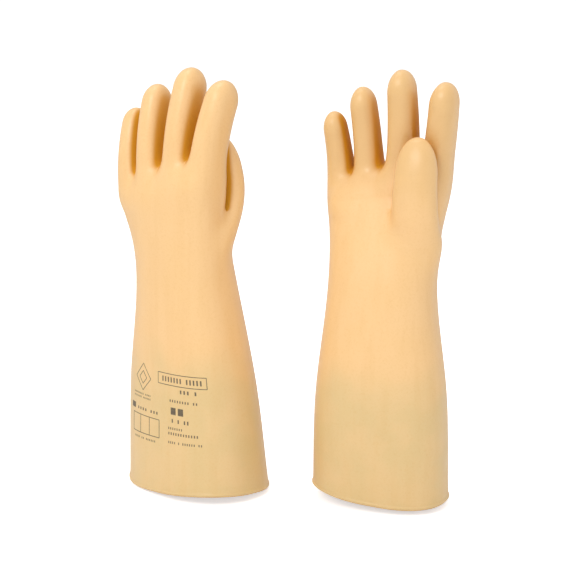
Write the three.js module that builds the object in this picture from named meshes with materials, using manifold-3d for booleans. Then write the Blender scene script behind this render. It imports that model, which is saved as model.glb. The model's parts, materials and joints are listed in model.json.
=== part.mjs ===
// A pair of long natural-latex electrical insulating gloves, standing on their cuffs.
// Millimetres, +Z up. The origin is the centre of the bottom face of the pair's bounding box.
//
// Each glove is shaped as a right hand in its own glove frame: +X towards the thumb,
// -Y towards the palm, +Z towards the fingertips, cuff rim on Z = 0. The left glove is
// the same hand mirrored in Y. A glove is one dipped rubber shell; here the shell is
// parted at its flex lines, and every part turns about a hinge inside the finger,
// thumb or wrist.

import * as THREE from 'three';
import { LoftGeometry } from 'three/addons/geometries/LoftGeometry.js';
import { mergeVertices } from 'three/addons/utils/BufferGeometryUtils.js';
import Module from 'manifold-3d';

const wasm = await Module();
wasm.setup();

// ---------------------------------------------------------------- driving dimensions

const wall = 3.3; // rubber thickness
const hingeGap = 0.4; // clear slot between two parts at a flex line
const wedgeClearance = 2; // degrees left open when a hinge is fully bent
const thumbClearance = 0.6; // air between the resting thumb and the palm

const trunkSides = 24; // facets around the gauntlet and the palm
const digitSides = 12; // facets around a finger
const trunkSquareness = 2.4; // 2 is an ellipse, larger is boxier
const fingerSquareness = 2.4;
const thumbSquareness = 2.1;

const cuffHeight = 0;
const forearmHeight = 100;
const wristHeight = 205;
const knuckleHeight = 290;
const webHeight = 315; // top of the web between the fingers, at X = 0
const knuckleSlope = 0.12; // the knuckle line climbs towards the index finger
const webSlope = 0.22; // and the web line climbs faster

const wristBend = { palmward: 30, backward: 20 }; // degrees
const midBend = 55; // middle joint of every finger
const tipBend = 27.5; // end joint of every finger, which follows the middle joint
const thumbRootBend = 38; // opens the thumb outward and away from the palm
const thumbTipBend = 35;

// Half sizes and centre offsets of the shell, from cuff to knuckles.
const handStations = [
  { z: wristHeight, halfWidth: 51.5, halfDepth: 38, x: -3, y: 0 },
  { z: knuckleHeight, halfWidth: 56.5, halfDepth: 28, x: -4, y: 13 },
];

// The soft cuffs have relaxed into slightly different ovals.
const gloves = [
  {
    side: 'left',
    mirrored: true,
    place: { x: -90.6, y: 25.2, turn: -43 },
    cuff: [
      { z: cuffHeight, halfWidth: 73, halfDepth: 55, x: 2, y: -12 },
      { z: forearmHeight, halfWidth: 68, halfDepth: 47, x: 0, y: -8 },
    ],
  },
  {
    side: 'right',
    mirrored: false,
    place: { x: 100.1, y: -17.9, turn: -23 },
    cuff: [
      { z: cuffHeight, halfWidth: 66.5, halfDepth: 44, x: -4, y: 4 },
      { z: forearmHeight, halfWidth: 63, halfDepth: 44, x: -1, y: -6 },
    ],
  },
];

// base: centre of the finger where it leaves the palm; fan: degrees it leans sideways;
// hinges: distances from the base to its three flex lines; rootBend: degrees.
const fingers = [
  {
    name: 'index', base: [43, 12, 308], fan: 8.5, length: 86.5,
    rootRadius: 14.2, tipRadius: 12, hinges: [23, 48, 67], rootBend: 28,
  },
  {
    name: 'middle', base: [11, 13.5, 312], fan: 1.3, length: 93,
    rootRadius: 14.8, tipRadius: 11.4, hinges: [21, 49, 71], rootBend: 40,
  },
  {
    name: 'ring', base: [-24, 18, 309], fan: -3, length: 78.5,
    rootRadius: 12.8, tipRadius: 10.9, hinges: [17, 42, 60.5], rootBend: 45,
  },
  {
    name: 'little', base: [-51, 18.5, 299.5], fan: -4.6, length: 65,
    rootRadius: 12.8, tipRadius: 10.3, hinges: [15, 35, 50], rootBend: 45,
  },
];
const fingerDepthRatio = 1.3; // fingers are deeper than they are wide
const fingerStartPitch = -1; // degrees a finger leans towards the palm at its base
const fingerEndPitch = 17; // and at its tip
const fingerRootLength = 20; // how far a finger runs down inside the palm
const pivotPalmward = 0.25; // hinge axis, as a fraction of the half depth

const thumb = {
  heel: [20, -4, 215],
  base: [35, -9, 253],
  bow: [35.5, -33, 298],
  tip: [35.5, -23, 330],
  rootWidth: 24, tipWidth: 17,
  rootDepth: 15, tipDepth: 11.5,
  hinges: [34, 59], // distances from the base
};
const thumbOpenAxis = [0.5, 0.866, 0]; // swings outward and away from the palm
const thumbFoldAxis = [0.35, -0.937, 0]; // folds the tip across the palm

// ---------------------------------------------------------------- small helpers

const degrees = THREE.MathUtils.degToRad;
const lerp = THREE.MathUtils.lerp;
const vector = (xyz) => new THREE.Vector3(...xyz);

function signedPower(value, exponent) {
  return Math.sign(value) * Math.abs(value) ** exponent;
}

// A closed ring of points, shaped as a superellipse in the plane of two unit vectors.
function ring({ centre, across, deep, halfWidth, halfDepth, squareness, sides }) {
  const points = [];
  for (let i = 0; i < sides; i += 1) {
    const angle = (i / sides) * 2 * Math.PI;
    const u = signedPower(Math.cos(angle), 2 / squareness) * halfWidth;
    const v = signedPower(Math.sin(angle), 2 / squareness) * halfDepth;
    points.push(centre.clone().addScaledVector(across, u).addScaledVector(deep, v));
  }
  return points;
}

// Turns a closed three.js geometry into a solid that can be joined and cut.
function solidFrom(geometry) {
  const bare = new THREE.BufferGeometry();
  bare.setAttribute('position', geometry.getAttribute('position'));
  bare.setIndex(geometry.getIndex());
  const merged = mergeVertices(bare, 1e-4);
  const mesh = new wasm.Mesh({
    numProp: 3,
    vertProperties: new Float32Array(merged.getAttribute('position').array),
    triVerts: new Uint32Array(merged.getIndex().array),
  });
  return new wasm.Manifold(mesh);
}

function loft(rings) {
  return solidFrom(new LoftGeometry(rings, { capStart: true, capEnd: true }));
}

function union(solids) {
  return solids.reduce((total, solid) => total.add(solid));
}

// ---------------------------------------------------------------- gauntlet and palm

// Smooth value of one dimension at height z, through the stations (cubic Hermite).
function stationValue(stations, key, z) {
  const last = stations.length - 1;
  const slope = (i) => {
    const low = stations[Math.max(i - 1, 0)];
    const high = stations[Math.min(i + 1, last)];
    return (high[key] - low[key]) / (high.z - low.z);
  };
  let i = 0;
  while (i < last - 1 && z > stations[i + 1].z) {
    i += 1;
  }
  const span = stations[i + 1].z - stations[i].z;
  const t = (z - stations[i].z) / span;
  const rise = (3 - 2 * t) * t * t;
  return (1 - rise) * stations[i][key] + rise * stations[i + 1][key]
    + t * (1 - t) * (1 - t) * span * slope(i)
    - t * t * (1 - t) * span * slope(i + 1);
}

function trunkRing(stations, z, inset, slope, shrinkWidth, shrinkDepth) {
  const at = THREE.MathUtils.clamp(z, cuffHeight, knuckleHeight);
  const points = ring({
    centre: new THREE.Vector3(stationValue(stations, 'x', at), stationValue(stations, 'y', at), z),
    across: new THREE.Vector3(1, 0, 0),
    deep: new THREE.Vector3(0, 1, 0),
    halfWidth: (stationValue(stations, 'halfWidth', at) - inset) * shrinkWidth,
    halfDepth: (stationValue(stations, 'halfDepth', at) - inset) * shrinkDepth,
    squareness: trunkSquareness,
    sides: trunkSides,
  });
  points.forEach((point) => point.setZ(point.z + slope * point.x));
  return points;
}

// The gauntlet and palm as one closed solid; inset > 0 gives the hollow inside it.
function trunkSolid(stations, inset) {
  const bottom = inset > 0 ? cuffHeight - 5 : cuffHeight;
  const heights = [bottom, 50, 100, 145, 180, 205, 230, 262];
  const rings = heights.map((z) => {
    const slope = knuckleSlope * THREE.MathUtils.smoothstep(z, wristHeight, knuckleHeight);
    return trunkRing(stations, z, inset, slope, 1, 1);
  });
  const crown = webHeight - inset - knuckleHeight;
  for (const t of [0, 0.5, 0.85, 1]) {
    const round = Math.sqrt(1 - (0.97 * t) ** 2);
    const slope = lerp(knuckleSlope, webSlope, t);
    rings.push(trunkRing(stations, knuckleHeight + crown * t, inset, slope, round ** 0.35, round));
  }
  return loft(rings);
}

// ---------------------------------------------------------------- fingers and thumb

// A digit is a centre curve with a width and depth at each distance along it.
function fingerDigit(finger) {
  const fan = degrees(finger.fan);
  const direction = (pitch) => new THREE.Vector3(
    Math.sin(fan) * Math.cos(degrees(pitch)),
    -Math.sin(degrees(pitch)),
    Math.cos(fan) * Math.cos(degrees(pitch)),
  );
  const reach = (finger.length - finger.tipRadius * fingerDepthRatio) / 2;
  const base = vector(finger.base);
  const bow = base.clone().addScaledVector(direction(fingerStartPitch), reach);
  const tip = bow.clone().addScaledVector(direction(fingerEndPitch), reach);
  const heel = base.clone().addScaledVector(direction(fingerStartPitch), -fingerRootLength);
  return {
    curve: new THREE.QuadraticBezierCurve3(base, bow, tip),
    heel,
    across: new THREE.Vector3(Math.cos(fan), 0, -Math.sin(fan)),
    heelWidth: finger.rootRadius,
    heelDepth: finger.rootRadius * fingerDepthRatio,
    rootWidth: finger.rootRadius,
    rootDepth: finger.rootRadius * fingerDepthRatio,
    tipWidth: finger.tipRadius,
    tipDepth: finger.tipRadius * fingerDepthRatio,
    tipHeight: finger.tipRadius * fingerDepthRatio,
    squareness: fingerSquareness,
  };
}

function thumbDigit() {
  return {
    curve: new THREE.QuadraticBezierCurve3(vector(thumb.base), vector(thumb.bow), vector(thumb.tip)),
    heel: vector(thumb.heel),
    across: new THREE.Vector3(1, 0, 0),
    heelWidth: thumb.rootWidth,
    heelDepth: thumb.rootWidth,
    rootWidth: thumb.rootWidth,
    rootDepth: thumb.rootDepth,
    tipWidth: thumb.tipWidth,
    tipDepth: thumb.tipDepth,
    tipHeight: thumb.tipDepth * 1.15,
    squareness: thumbSquareness,
  };
}

// Place and unit vectors of a digit at distance s from its base: along it, across it, through it.
function digitFrame(digit, s) {
  const u = s / digit.curve.getLength();
  const along = digit.curve.getTangentAt(u);
  const across = digit.across.clone().addScaledVector(along, -digit.across.dot(along)).normalize();
  return {
    point: digit.curve.getPointAt(u),
    along,
    across,
    deep: new THREE.Vector3().crossVectors(along, across),
    halfWidth: lerp(digit.rootWidth, digit.tipWidth, u),
    halfDepth: lerp(digit.rootDepth, digit.tipDepth, u),
  };
}

// The digit as a closed solid with a domed tip; inset > 0 gives the hollow inside it.
function digitSolid(digit, inset) {
  const length = digit.curve.getLength();
  const section = (frame, centre, widthScale, depthScale) => ring({
    centre,
    across: frame.across,
    deep: frame.deep,
    halfWidth: (frame.halfWidth - inset) * widthScale,
    halfDepth: (frame.halfDepth - inset) * depthScale,
    squareness: digit.squareness,
    sides: digitSides,
  });
  const start = digitFrame(digit, 0);
  const heelWidthScale = (digit.heelWidth - inset) / (start.halfWidth - inset);
  const heelDepthScale = (digit.heelDepth - inset) / (start.halfDepth - inset);
  const rings = [section(start, digit.heel, heelWidthScale, heelDepthScale)];
  for (const u of [0, 0.25, 0.5, 0.75, 1]) {
    const frame = digitFrame(digit, u * length);
    rings.push(section(frame, frame.point, 1, 1));
  }
  const end = digitFrame(digit, length);
  for (const rise of [0.45, 0.8, 0.98]) {
    const round = Math.sqrt(1 - rise * rise);
    const centre = end.point.clone().addScaledVector(end.along, rise * (digit.tipHeight - inset));
    rings.push(section(end, centre, round, round));
  }
  return loft(rings);
}

// ---------------------------------------------------------------- flex lines

// A hinge: turning by a positive angle about its axis carries `along` towards `fold`.
function fingerHinge(digit, s, bend) {
  const frame = digitFrame(digit, s);
  const palmward = frame.deep.clone().negate();
  return {
    point: frame.point.clone().addScaledVector(palmward, pivotPalmward * frame.halfDepth),
    along: frame.along,
    fold: palmward,
    bend,
    backBend: 0,
  };
}

function thumbHinge(digit, s, axisXyz, bend) {
  const frame = digitFrame(digit, s);
  const axis = vector(axisXyz);
  axis.addScaledVector(frame.along, -axis.dot(frame.along)).normalize();
  return {
    point: frame.point.clone(),
    along: frame.along,
    fold: new THREE.Vector3().crossVectors(axis, frame.along),
    bend,
    backBend: 0,
  };
}

function wristHinge(stations) {
  const x = stationValue(stations, 'x', wristHeight);
  const y = stationValue(stations, 'y', wristHeight);
  return {
    point: new THREE.Vector3(x, y, wristHeight),
    along: new THREE.Vector3(0, 0, 1),
    fold: new THREE.Vector3(0, -1, 0),
    bend: wristBend.palmward,
    backBend: wristBend.backward,
  };
}

// Everything on one side of a flex line, with the V-shaped room the hinge needs to bend.
// `keep` is 'before' to leave the part below the hinge, or 'after' to leave the part above.
function hingeCutter(hinge, keep, reach) {
  const sign = keep === 'before' ? 1 : -1;
  const wedgeSlope = (angle) => (angle > 0 ? Math.tan(degrees((angle + wedgeClearance) / 2)) : 0);
  const foldSlope = wedgeSlope(hinge.bend);
  const backSlope = wedgeSlope(hinge.backBend);
  const slot = hingeGap / 2;
  const outline = new THREE.Shape([
    new THREE.Vector2(-sign * (slot + backSlope * reach), -reach),
    new THREE.Vector2(-sign * slot, 0),
    new THREE.Vector2(-sign * (slot + foldSlope * reach), reach),
    new THREE.Vector2(sign * 3 * reach, reach),
    new THREE.Vector2(sign * 3 * reach, -reach),
  ]);
  const geometry = new THREE.ExtrudeGeometry(outline, { depth: 2 * reach, bevelEnabled: false });
  const axis = new THREE.Vector3().crossVectors(hinge.along, hinge.fold);
  geometry.translate(0, 0, -reach);
  geometry.applyMatrix4(new THREE.Matrix4().makeBasis(hinge.along, hinge.fold, axis));
  geometry.translate(hinge.point.x, hinge.point.y, hinge.point.z);
  return solidFrom(geometry);
}

// ---------------------------------------------------------------- one glove

const trunkReach = 130; // cutters reach past the gauntlet
const digitReach = 60; // and past a digit

function latex() {
  return new THREE.MeshStandardMaterial({ color: 0xe9bd82, roughness: 0.45, metalness: 0 });
}

// Geometry of a finished solid, with its origin at the hinge it turns about.
function pieceGeometry(solid, pivot, mirrored) {
  const mesh = solid.getMesh();
  const positions = Float32Array.from(mesh.vertProperties);
  const triangles = Uint32Array.from(mesh.triVerts);
  const geometry = new THREE.BufferGeometry();
  geometry.setAttribute('position', new THREE.BufferAttribute(positions, 3));
  geometry.setIndex(new THREE.BufferAttribute(triangles, 1));
  geometry.translate(-pivot.x, -pivot.y, -pivot.z);
  if (mirrored) {
    geometry.scale(1, -1, 1);
    for (let i = 0; i < triangles.length; i += 3) {
      [triangles[i], triangles[i + 1]] = [triangles[i + 1], triangles[i]];
    }
  }
  geometry.computeVertexNormals();
  return geometry;
}

// A group at a hinge, named after its joint, holding the part that turns about it.
function addHinged(parent, glove, jointName, hinge, pieceName, solid) {
  const joint = new THREE.Group();
  const mirror = new THREE.Vector3(1, glove.mirrored ? -1 : 1, 1);
  const offset = hinge.point.clone().sub(parent.userData.pivot).multiply(mirror);
  const along = hinge.along.clone().multiply(mirror);
  const fold = hinge.fold.clone().multiply(mirror);
  joint.name = `${glove.side}_${jointName}`;
  joint.position.copy(offset);
  joint.userData = { pivot: hinge.point, axis: new THREE.Vector3().crossVectors(along, fold) };
  addPiece(joint, glove, pieceName, solid);
  parent.add(joint);
  return joint;
}

function addPiece(group, glove, pieceName, solid) {
  const piece = new THREE.Mesh(pieceGeometry(solid, group.userData.pivot, glove.mirrored), latex());
  piece.name = `${glove.side}_${pieceName}`;
  group.add(piece);
}

// The digit's hollow shell parted at its hinges, from the first hinge to the tip.
function digitPieces(outer, hollow, hinges) {
  const shell = outer.subtract(hollow);
  return hinges.map((hinge, i) => {
    const above = shell.subtract(hingeCutter(hinge, 'after', digitReach));
    const next = hinges[i + 1];
    return next ? above.subtract(hingeCutter(next, 'before', digitReach)) : above;
  });
}

function fingerPlan(finger) {
  const digit = fingerDigit(finger);
  const bends = [finger.rootBend, midBend, tipBend];
  return {
    digit,
    hinges: finger.hinges.map((s, i) => fingerHinge(digit, s, bends[i])),
    jointNames: ['root', 'mid', 'tip'].map((part) => `${finger.name}_${part}`),
    pieceNames: ['base', 'mid', 'tip'].map((part) => `${finger.name}_finger_${part}`),
  };
}

function thumbPlan() {
  const digit = thumbDigit();
  return {
    digit,
    hinges: [
      thumbHinge(digit, thumb.hinges[0], thumbOpenAxis, thumbRootBend),
      thumbHinge(digit, thumb.hinges[1], thumbFoldAxis, thumbTipBend),
    ],
    jointNames: ['thumb_root', 'thumb_tip'],
    pieceNames: ['thumb_base', 'thumb_tip'],
  };
}

function buildGlove(glove) {
  const stations = [...glove.cuff, ...handStations];
  const trunk = trunkSolid(stations, 0);
  const trunkHollow = trunkSolid(stations, wall);
  const wrist = wristHinge(stations);
  const plans = [...fingers.map(fingerPlan), thumbPlan()];
  plans.forEach((plan) => {
    plan.outer = digitSolid(plan.digit, 0);
    plan.hollow = digitSolid(plan.digit, wall);
  });

  const gauntlet = trunk.subtract(trunkHollow).subtract(hingeCutter(wrist, 'before', trunkReach));
  const stumps = plans.map((plan) => (
    plan.outer.subtract(hingeCutter(plan.hinges[0], 'before', digitReach))
  ));
  const hollows = union([trunkHollow, ...plans.map((plan) => plan.hollow)]);
  const thumbRoot = plans.at(-1).hinges[0];
  const roomFloor = thumbRoot.point.clone().addScaledVector(thumbRoot.along, -thumbClearance);
  const thumbRoom = digitSolid(thumbDigit(), -thumbClearance)
    .subtract(hingeCutter({ ...thumbRoot, point: roomFloor }, 'after', digitReach));
  const hand = union([trunk, ...stumps])
    .subtract(hollows)
    .subtract(thumbRoom)
    .subtract(hingeCutter(wrist, 'after', trunkReach));

  const group = new THREE.Group();
  group.name = `${glove.side}_glove`;
  group.userData = { pivot: new THREE.Vector3() };
  addPiece(group, glove, 'gauntlet', gauntlet);
  const palm = addHinged(group, glove, 'wrist', wrist, 'hand', hand);
  plans.forEach((plan) => {
    let parent = palm;
    digitPieces(plan.outer, plan.hollow, plan.hinges).forEach((solid, i) => {
      parent = addHinged(parent, glove, plan.jointNames[i], plan.hinges[i], plan.pieceNames[i], solid);
    });
  });
  group.position.set(glove.place.x, glove.place.y, 0);
  group.rotation.z = degrees(glove.place.turn);
  return group;
}

// ---------------------------------------------------------------- the pair

const pair = new THREE.Group();
pair.name = 'insulating_gloves';
gloves.forEach((glove) => pair.add(buildGlove(glove)));

const bounds = new THREE.Box3().setFromObject(pair, true);
const middle = bounds.getCenter(new THREE.Vector3());
pair.children.forEach((glove) => {
  glove.position.x -= middle.x;
  glove.position.y -= middle.y;
});

export default pair;
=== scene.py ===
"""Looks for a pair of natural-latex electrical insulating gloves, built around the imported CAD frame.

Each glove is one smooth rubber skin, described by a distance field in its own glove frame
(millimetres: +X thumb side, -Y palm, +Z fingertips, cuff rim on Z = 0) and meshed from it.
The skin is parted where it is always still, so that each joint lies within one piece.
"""

import json
import math

import bmesh
import bpy
import numpy as np
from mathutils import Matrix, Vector


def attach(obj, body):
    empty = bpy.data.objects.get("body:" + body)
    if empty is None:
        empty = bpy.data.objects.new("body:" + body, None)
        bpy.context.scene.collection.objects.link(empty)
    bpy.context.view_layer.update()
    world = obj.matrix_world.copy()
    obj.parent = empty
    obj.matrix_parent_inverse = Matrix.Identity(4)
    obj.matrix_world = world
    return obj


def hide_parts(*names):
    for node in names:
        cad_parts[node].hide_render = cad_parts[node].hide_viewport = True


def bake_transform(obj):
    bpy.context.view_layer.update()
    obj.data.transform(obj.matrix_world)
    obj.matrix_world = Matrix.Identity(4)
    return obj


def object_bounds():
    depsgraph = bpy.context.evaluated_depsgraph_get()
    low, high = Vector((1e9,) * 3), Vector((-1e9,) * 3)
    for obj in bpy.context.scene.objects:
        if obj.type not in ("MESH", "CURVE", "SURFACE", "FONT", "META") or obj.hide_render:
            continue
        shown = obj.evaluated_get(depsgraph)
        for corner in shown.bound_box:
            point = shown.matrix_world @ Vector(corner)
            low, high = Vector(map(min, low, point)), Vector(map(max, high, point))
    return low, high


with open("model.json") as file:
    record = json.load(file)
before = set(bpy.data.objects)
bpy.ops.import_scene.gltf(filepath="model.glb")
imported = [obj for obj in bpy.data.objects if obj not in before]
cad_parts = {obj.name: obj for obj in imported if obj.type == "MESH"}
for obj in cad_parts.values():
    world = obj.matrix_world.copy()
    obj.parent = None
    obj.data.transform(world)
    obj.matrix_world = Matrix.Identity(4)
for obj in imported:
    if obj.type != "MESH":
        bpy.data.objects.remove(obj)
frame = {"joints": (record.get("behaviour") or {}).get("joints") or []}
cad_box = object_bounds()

MM = 0.001  # metres in a millimetre
JOINTS = {joint["name"]: joint for joint in frame["joints"]}

# ------------------------------------------------------------------ driving dimensions, mm

WALL = 3.3  # rubber thickness
SKIN_STEP = 1.6  # mesh size of the outer skin
LINING_STEP = 3.0  # mesh size of the inside
WEB_BLEND = 18.0  # how softly a finger grows out of the palm
CROTCH_BLEND = 2.0  # how softly neighbouring fingers meet
THENAR_BLEND = 18.0  # how softly the thumb grows out of the palm
THUMB_CLEFT = 269.0  # the thumb begins to free itself of the palm here, at its middle
THUMB_CLEFT_TAPER = 12.0  # and the cleft has its full width this much higher
THUMB_CLEFT_SLOPE = 0.3  # the cleft rises this steeply from the index side
THUMB_GUARD = 268.0  # nothing of the free thumb is below this height
THUMB_GAP = 3.2  # room between the thumb and the palm behind it
THUMB_FREEING = (-20.0, 32.0)  # heights about the cleft between which the thumb's web thins out
THUMB_WEB = 1.0  # what is left of the web's softness above that
CLEFT_ROUNDING = 0.4

# 2 is an ellipse, more is boxier.
TRUNK_SQUARENESS = 2.4
CROWN_SQUARENESS = 2.4  # added to that where the hand closes over
FINGER_SQUARENESS = 2.4
THUMB_SQUARENESS = 2.15
KNUCKLE_HEIGHT = 290.0
CROWN_START = 268.0  # the hand begins to close over at this height
WEB_HEIGHT = 315.0
KNUCKLE_SLOPE = 0.12
WEB_SLOPE = 0.22

# Height of a section, its half width and half depth, and where its centre is.
HAND_STATIONS = {
    "left": [(205, 53.3, 38, 0.5, 0), (290, 55.2, 28, -3.6, 13)],
    "right": [(205, 51.5, 38, -3, 0), (290, 55.2, 28, -3.6, 13)],
}
CUFF_STATIONS = {
    "left": [(0, 75, 55, 2, -12), (100, 69.5, 47, 0, -8)],
    "right": [(0, 66.5, 44, -4, 4), (100, 63, 44, -1, -6)],
}
WRIST_CENTRE = np.array([-3.0, 0.0, 205.0])

# base centre, sideways lean in degrees, length, half width at root and tip, heel
FINGERS = {
    "index": ((43, 12, 308), 8.5, 91.0, 14.2, 13.0, (36, 9, 258)),
    "middle": ((11, 13.5, 312), 1.3, 96.5, 14.8, 12.8, (9, 9, 262)),
    "ring": ((-23.4, 18, 309), -3.0, 82.5, 13.0, 11.8, (-20, 10, 262)),
    "little": ((-51.0, 18.5, 299.5), -5.0, 68.0, 12.4, 10.6, (-38, 9, 240)),
}
FINGER_DEPTH_RATIO = 1.3
FINGER_DOME = 1.65  # length of a fingertip's dome over its half width
FINGER_FLARE = 0.8  # how much wider a finger is where it leaves the hand
FLARE_LENGTH = 30.0
FINGER_PITCH = (-1.0, 17.0)  # lean towards the palm at the root and at the tip, degrees

GAUNTLET_TOP = 165.0  # the cuff piece ends and the wrist piece starts
WRIST_TOP = 245.0  # the wrist piece ends and the hand piece starts
WRIST_ZONE = (167.0, 243.0)  # the rubber bends at the wrist between these heights
CUFF_MIDDLE = 100.0  # the height where distances round the cuff are measured
CUFF_SIDES = 200
RIM_RADIUS = 2.7  # of the rolled rim
RIM_WAVE_HEIGHT = 80.0  # the rim's wave dies out above this height
# times round, size and phase in degrees of each swell of the rim
RIM_WAVES = {
    "left": [(0, -1.5, 0.0), (1, 1.5, -100.0), (2, 4.0, 80.0)],
    "right": [(0, -0.5, 0.0), (1, 4.0, -143.0), (2, 2.5, 27.0)],
}

THUMB_CURVE = ((32.5, -9, 253), (35.5, -28, 284), (35.5, -23, 313))
THUMB_SHIFT = {"left": (-2.0, 2.0, -3.0), "right": (0.0, 0.0, 0.0)}  # of its tip
THUMB_HEEL = (12, 0, 208)
THUMB_WIDTH = (22.8, 20.0)
THUMB_DEPTH = (15.0, 13.0)
THUMB_DOME = 35.0


# ------------------------------------------------------------------ materials


def node(tree, kind, inputs=None, **settings):
    """Adds a shader node, sets its options, and wires or sets its inputs."""
    made = tree.nodes.new(kind)
    for key, value in settings.items():
        setattr(made, key, value)
    for key, value in (inputs or {}).items():
        if isinstance(value, bpy.types.NodeSocket):
            tree.links.new(value, made.inputs[key])
        else:
            made.inputs[key].default_value = value
    return made


def new_material(name):
    """An empty node material and its tree."""
    material = bpy.data.materials.new(name)
    material.use_nodes = True
    material.node_tree.nodes.clear()
    return material, material.node_tree


def mix(tree, factor, a, b):
    """Colour a turning to colour b as factor goes from 0 to 1."""
    made = node(tree, "ShaderNodeMix", data_type="RGBA")
    for index, value in ((0, factor), (6, a), (7, b)):
        if isinstance(value, bpy.types.NodeSocket):
            tree.links.new(value, made.inputs[index])
        else:
            made.inputs[index].default_value = value
    return made.outputs[2]


def remap(tree, value, low, high, out_low=0.0, out_high=1.0, smooth=True):
    """A value between low and high, stretched to run from out_low to out_high."""
    kind = "SMOOTHSTEP" if smooth else "LINEAR"
    made = node(tree, "ShaderNodeMapRange", {"Value": value}, interpolation_type=kind)
    made.inputs["From Min"].default_value = low
    made.inputs["From Max"].default_value = high
    made.inputs["To Min"].default_value = out_low
    made.inputs["To Max"].default_value = out_high
    return made.outputs["Result"]


def noise(tree, vector, scale, detail=3.0, roughness=0.5, distortion=0.0):
    inputs = {
        "Vector": vector,
        "Scale": scale,
        "Detail": detail,
        "Roughness": roughness,
        "Distortion": distortion,
    }
    return node(tree, "ShaderNodeTexNoise", inputs).outputs["Fac"]


def maths(tree, operation, a, b=0.0):
    made = node(tree, "ShaderNodeMath", operation=operation)
    for index, value in enumerate((a, b)):
        if isinstance(value, bpy.types.NodeSocket):
            tree.links.new(value, made.inputs[index])
        else:
            made.inputs[index].default_value = value
    return made.outputs[0]


def srgb(r, g, b):
    """An 8-bit display colour as the linear one that nodes use."""
    values = np.array([r, g, b]) / 255.0
    linear = np.where(values <= 0.04045, values / 12.92, ((values + 0.055) / 1.055) ** 2.4)
    return (*(float(v) for v in linear), 1.0)


def latex_material():
    """Undyed dipped latex: peach at the hand, olive at the cuff; painted shade, deeper orange, where
    light is shut in, on the palm side of the fingers and towards the edges, and a faint painted glow
    in the crevices.
    """
    material, tree = new_material("natural_latex_skin")
    rest = node(tree, "ShaderNodeAttribute", attribute_name="rest").outputs["Vector"]
    crevice_shade = node(tree, "ShaderNodeAttribute", attribute_name="crevice_shade").outputs["Fac"]
    palm_side_shade = node(tree, "ShaderNodeAttribute", attribute_name="palm_side_shade").outputs["Fac"]
    height = node(tree, "ShaderNodeSeparateXYZ", {"Vector": rest}).outputs["Z"]
    broad = noise(tree, rest, 0.012, 2.0, 0.5, 0.4)
    patches = maths(tree, "MULTIPLY", maths(tree, "SUBTRACT", broad, 0.5), 90.0)
    hand_share = remap(tree, maths(tree, "ADD", height, patches), 85.0, 150.0)
    colour = mix(tree, hand_share, CUFF_COLOUR, HAND_COLOUR)
    cloud = remap(tree, noise(tree, rest, 0.03, 3.0, 0.5), 0.35, 0.68)
    colour = mix(tree, maths(tree, "MULTIPLY", cloud, 0.25), colour, WARM_PATCH)
    lengthwise = node(tree, "ShaderNodeVectorMath", {0: rest, 1: (1.0, 1.0, 0.06)})
    lengthwise.operation = "MULTIPLY"
    streak = remap(tree, noise(tree, lengthwise.outputs["Vector"], 0.1, 2.0, 0.5), 0.42, 0.72)
    colour = mix(tree, maths(tree, "MULTIPLY", streak, 0.06), colour, DEEP_TONE_AND_SHADE_COLOUR)
    fine = remap(tree, noise(tree, rest, 0.55, 3.0, 0.6), 0.45, 0.75)
    colour = mix(tree, maths(tree, "MULTIPLY", fine, 0.10), colour, DEEP_TONE_AND_SHADE_COLOUR)
    # Painted shade on the palm side of the fingers.
    colour = mix(tree, maths(tree, "MULTIPLY", palm_side_shade, 0.55), colour, PALM_SHADE_COLOUR)
    # Painted shade: deep orange where the rubber is shut in, in the crotches and behind the thumb.
    shut = remap(tree, crevice_shade, 0.06, 0.62)
    colour = mix(tree, maths(tree, "MULTIPLY", shut, 0.92), colour, DEEP_TONE_AND_SHADE_COLOUR)
    # Painted shade towards the edges, where the surface turns away from the view.
    facing = node(tree, "ShaderNodeLayerWeight", {"Blend": 0.35}).outputs["Facing"]
    edge = remap(tree, facing, 0.35, 1.0)
    colour = mix(tree, maths(tree, "MULTIPLY", edge, 0.45), colour, EDGE_SHADE_COLOUR)
    grain = noise(tree, rest, 1.6, 3.0, 0.6)
    swell = noise(tree, rest, 0.06, 2.0, 0.5)
    height_map = maths(tree, "ADD", maths(tree, "MULTIPLY", grain, 0.05), swell)
    bump = node(tree, "ShaderNodeBump", {"Strength": 0.35, "Distance": 0.0006, "Height": height_map})
    shine = remap(tree, noise(tree, rest, 0.12, 3.0, 0.5), 0.3, 0.7, 0.46, 0.6)
    surface = node(
        tree,
        "ShaderNodeBsdfPrincipled",
        {
            "Base Color": colour,
            "Roughness": shine,
            "Specular IOR Level": remap(tree, crevice_shade, 0.1, 0.6, 0.4, 0.08),
            "Coat Weight": remap(tree, crevice_shade, 0.1, 0.6, 0.5, 0.0),
            "Coat Roughness": 0.3,
            "Normal": bump.outputs["Normal"],
        },
    )
    # A faint painted glow, like light coming through the rubber, where walls are close.
    tree.links.new(colour, surface.inputs["Emission Color"])
    glow = remap(tree, crevice_shade, 0.1, 0.7, 0.0, GLOW)
    tree.links.new(glow, surface.inputs["Emission Strength"])
    node(tree, "ShaderNodeOutputMaterial", {"Surface": surface.outputs["BSDF"]})
    return material


def ink_material():
    """Brownish-grey stamp ink, a little thin in places."""
    material, tree = new_material("stamp_ink")
    place = node(tree, "ShaderNodeTexCoord").outputs["Object"]
    thin = remap(tree, noise(tree, place, 900.0, 2.0), 0.35, 0.7)
    colour = mix(tree, maths(tree, "MULTIPLY", thin, 0.5), INK_COLOUR, INK_THIN)
    surface = node(
        tree, "ShaderNodeBsdfPrincipled", {"Base Color": colour, "Roughness": 0.6}
    )
    node(tree, "ShaderNodeOutputMaterial", {"Surface": surface.outputs["BSDF"]})
    return material


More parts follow.
